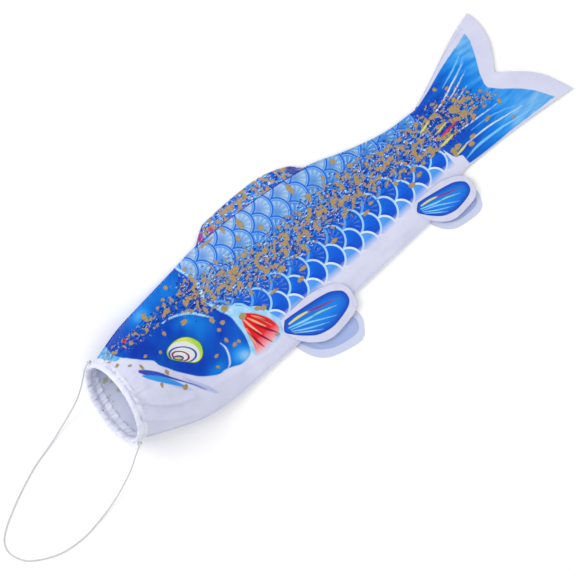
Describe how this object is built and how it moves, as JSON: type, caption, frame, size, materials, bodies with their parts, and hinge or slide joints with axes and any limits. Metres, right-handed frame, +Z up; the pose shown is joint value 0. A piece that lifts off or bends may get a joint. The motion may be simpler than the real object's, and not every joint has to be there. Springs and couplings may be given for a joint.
{
  "type": "carp streamer windsock",
  "caption": "Carp-shaped cloth windsock with a wire-hooped mouth, hinged cloth fins, a forked tail and a string bridle, lying on its side.",
  "frame": {"origin": "middle of the fish in plan, on the surface that it lies on, measured without the bridle", "axes": "+X from the mouth to the tail, +Y from the belly to the back, +Z up from the surface, out of the fish's left side"},
  "size_m": [0.8991, 0.2371, 0.1048],
  "materials": {
    "body_cloth": "satin-woven polyester printed with blue scales over a white belly",
    "fin_cloth": "satin-woven polyester printed in royal blue with white margins",
    "hem_cloth": "unprinted white satin-woven polyester, gathered",
    "thread": "white polyester sewing thread",
    "cord": "white twisted polyester string",
    "wire": "galvanised spring wire",
    "sleeve": "clear soft PVC tube"
  },
  "bodies": {
    "front": {"mouth_hem": "hem_cloth", "mouth_hoop": "wire", "hoop_sleeve": "sleeve", "hem_stitches": "thread", "body_left_front": "body_cloth", "body_right_front": "body_cloth", "back_seam_front": "hem_cloth", "belly_seam_front": "hem_cloth", "pectoral_stitches_left": "thread", "pectoral_stitches_right": "thread"},
    "rear": {"body_left_rear": "body_cloth", "body_right_rear": "body_cloth", "back_seam_rear": "hem_cloth", "belly_seam_rear": "hem_cloth", "pelvic_stitches_left": "thread", "pelvic_stitches_right": "thread"},
    "tail": {"tail_left": "body_cloth", "tail_right": "body_cloth", "tail_seam_back": "thread", "tail_seam_belly": "thread"},
    "back_fin_flap": {"back_fin": "fin_cloth"},
    "pectoral_left": {"pectoral_fin_left": "fin_cloth"},
    "pectoral_right": {"pectoral_fin_right": "fin_cloth"},
    "pelvic_left": {"pelvic_fin_left": "fin_cloth"},
    "pelvic_right": {"pelvic_fin_right": "fin_cloth"},
    "bridle": {"bridle_cord": "cord", "bridle_knot_back": "cord", "bridle_knot_belly": "cord"}
  },
  "joints": [
    {"name": "body_sway", "type": "hinge", "parent": "front", "child": "rear", "pos_m": [0.0722, 0, 0.006], "axis": [0, -1, 0], "range_deg": [-40, 40]},
    {"name": "tail_sway", "type": "hinge", "parent": "rear", "child": "tail", "pos_m": [0.1822, 0, 0.003], "axis": [0, -1, 0], "range_deg": [-50, 50]},
    {"name": "back_fin_flap", "type": "hinge", "parent": "front", "child": "back_fin_flap", "pos_m": [-0.1278, 0.1082, 0.0046], "axis": [0.9974, -0.0717, 0], "range_deg": [-40, 110]},
    {"name": "pectoral_left_flap", "type": "hinge", "parent": "front", "child": "pectoral_left", "pos_m": [-0.1088, -0.04492, 0.01231], "axis": [-0.342, -0.9295, -0.138], "range_deg": [0, 110]},
    {"name": "pectoral_right_flap", "type": "hinge", "parent": "front", "child": "pectoral_right", "pos_m": [-0.1068, -0.0498, 0.00045], "axis": [0.682, 0.7314, 0], "range_deg": [0, 110]},
    {"name": "pelvic_left_flap", "type": "hinge", "parent": "rear", "child": "pelvic_left", "pos_m": [0.1102, -0.03788, 0.00825], "axis": [-0.3907, -0.9168, -0.082], "range_deg": [0, 110]},
    {"name": "pelvic_right_flap", "type": "hinge", "parent": "rear", "child": "pelvic_right", "pos_m": [0.1122, -0.0433, 0.00045], "axis": [0.5592, 0.829, 0], "range_deg": [0, 110]},
    {"name": "bridle_swing", "type": "hinge", "parent": "front", "child": "bridle", "pos_m": [-0.3278, 0.0182, 0.05241], "axis": [0.1392, 0.9903, 0], "range_deg": [0, 100]}
  ]
}
